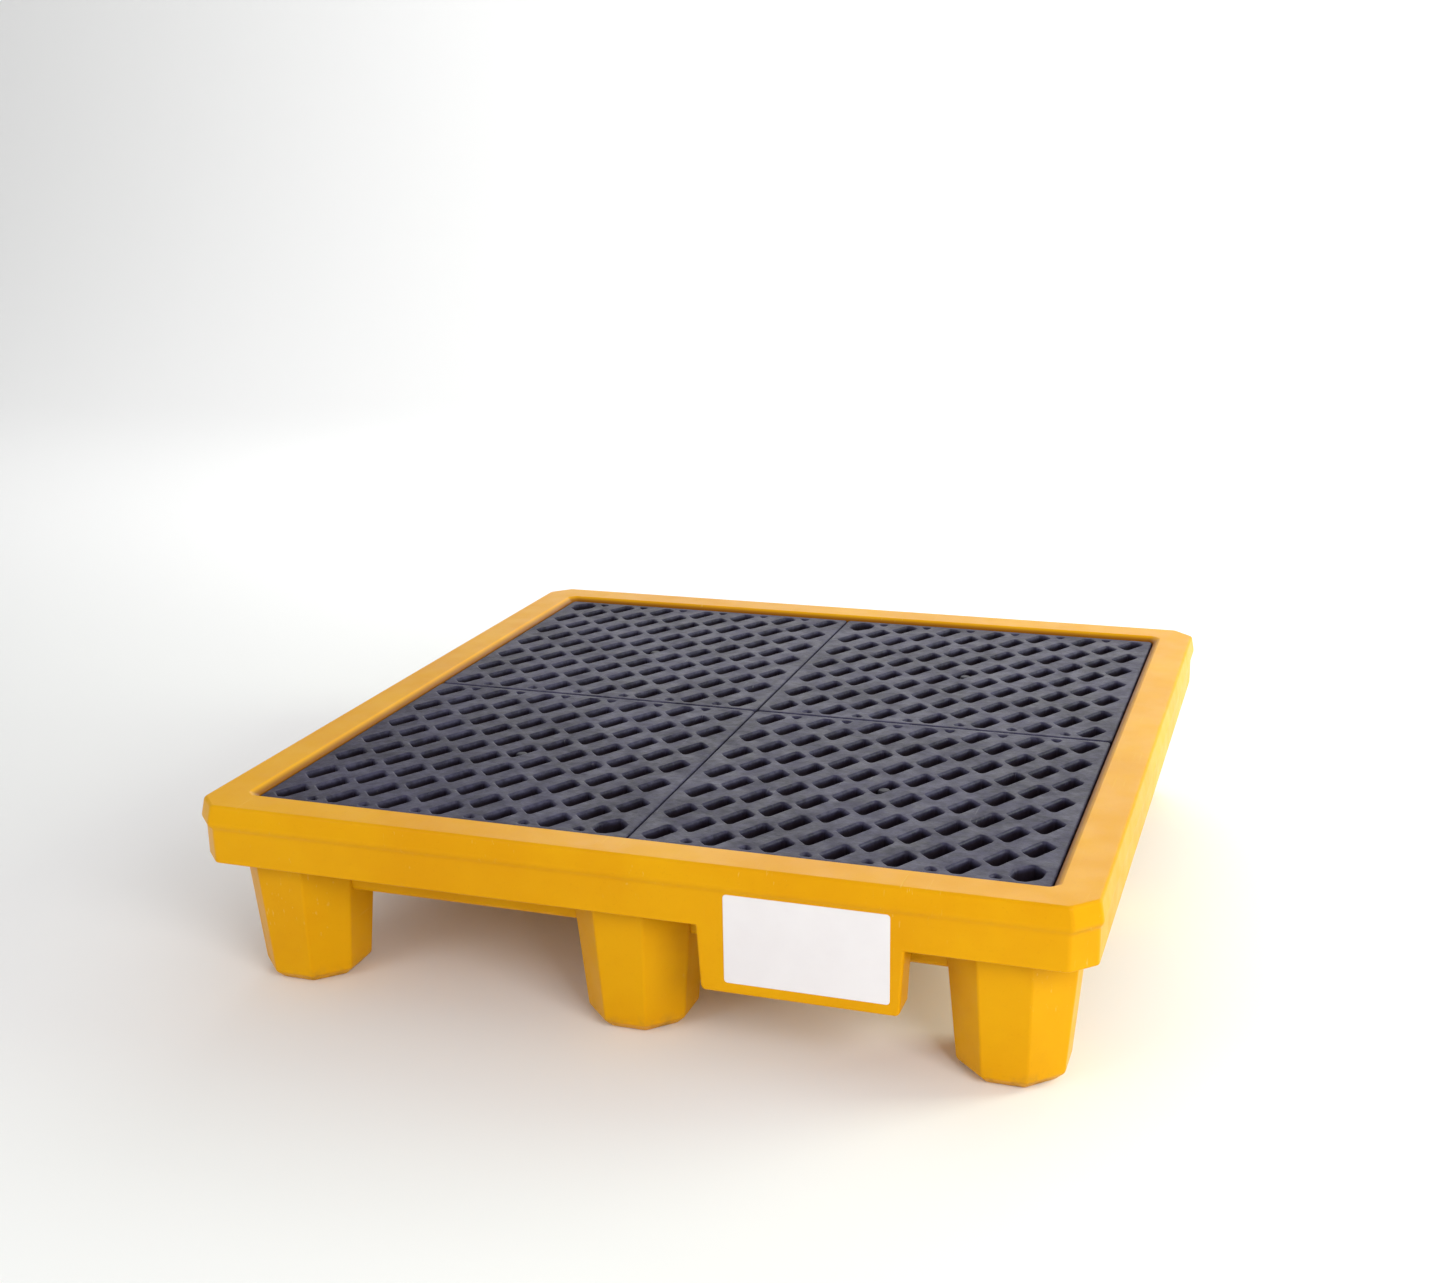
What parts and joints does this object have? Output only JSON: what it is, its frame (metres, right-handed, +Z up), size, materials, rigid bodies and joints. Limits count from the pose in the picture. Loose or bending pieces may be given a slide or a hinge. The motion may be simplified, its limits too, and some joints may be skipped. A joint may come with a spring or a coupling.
{
  "type": "spill containment pallet",
  "caption": "Low square yellow plastic spill pallet: sump tray on hollow legs, dark lift-out slotted grates on columns, front apron with a blank label",
  "frame": {"origin": "on the floor, under the centre of the tray", "axes": "+Z up, front with the label apron towards -Y, +X to the right seen from the front"},
  "size_m": [1.346, 1.346, 0.298],
  "materials": {
    "tray": "semi-gloss moulded amber-yellow polyethylene with fine moulding grain",
    "label": "blank satin white vinyl",
    "grate": "charcoal moulded polyethylene, satin, scuffed on top",
    "column": "charcoal moulded polyethylene, satin"
  },
  "bodies": {
    "tray": {"sump_tray": "tray", "label_sheet": "label", "column_centre": "column", "column_front": "column", "column_back": "column", "column_left": "column", "column_right": "column", "post_column_front_left": "column", "post_column_front_right": "column", "post_column_back_left": "column", "post_column_back_right": "column"},
    "front_left_grate": {"grate_front_left": "grate"},
    "front_right_grate": {"grate_front_right": "grate"},
    "back_left_grate": {"grate_back_left": "grate"},
    "back_right_grate": {"grate_back_right": "grate"}
  },
  "joints": [
    {"name": "front_left_grate_lift", "type": "slide", "parent": "tray", "child": "front_left_grate", "axis": [0, 0, 1], "range_m": [0, 0.3]},
    {"name": "front_right_grate_lift", "type": "slide", "parent": "tray", "child": "front_right_grate", "axis": [0, 0, 1], "range_m": [0, 0.3]},
    {"name": "back_left_grate_lift", "type": "slide", "parent": "tray", "child": "back_left_grate", "axis": [0, 0, 1], "range_m": [0, 0.3]},
    {"name": "back_right_grate_lift", "type": "slide", "parent": "tray", "child": "back_right_grate", "axis": [0, 0, 1], "range_m": [0, 0.3]}
  ]
}
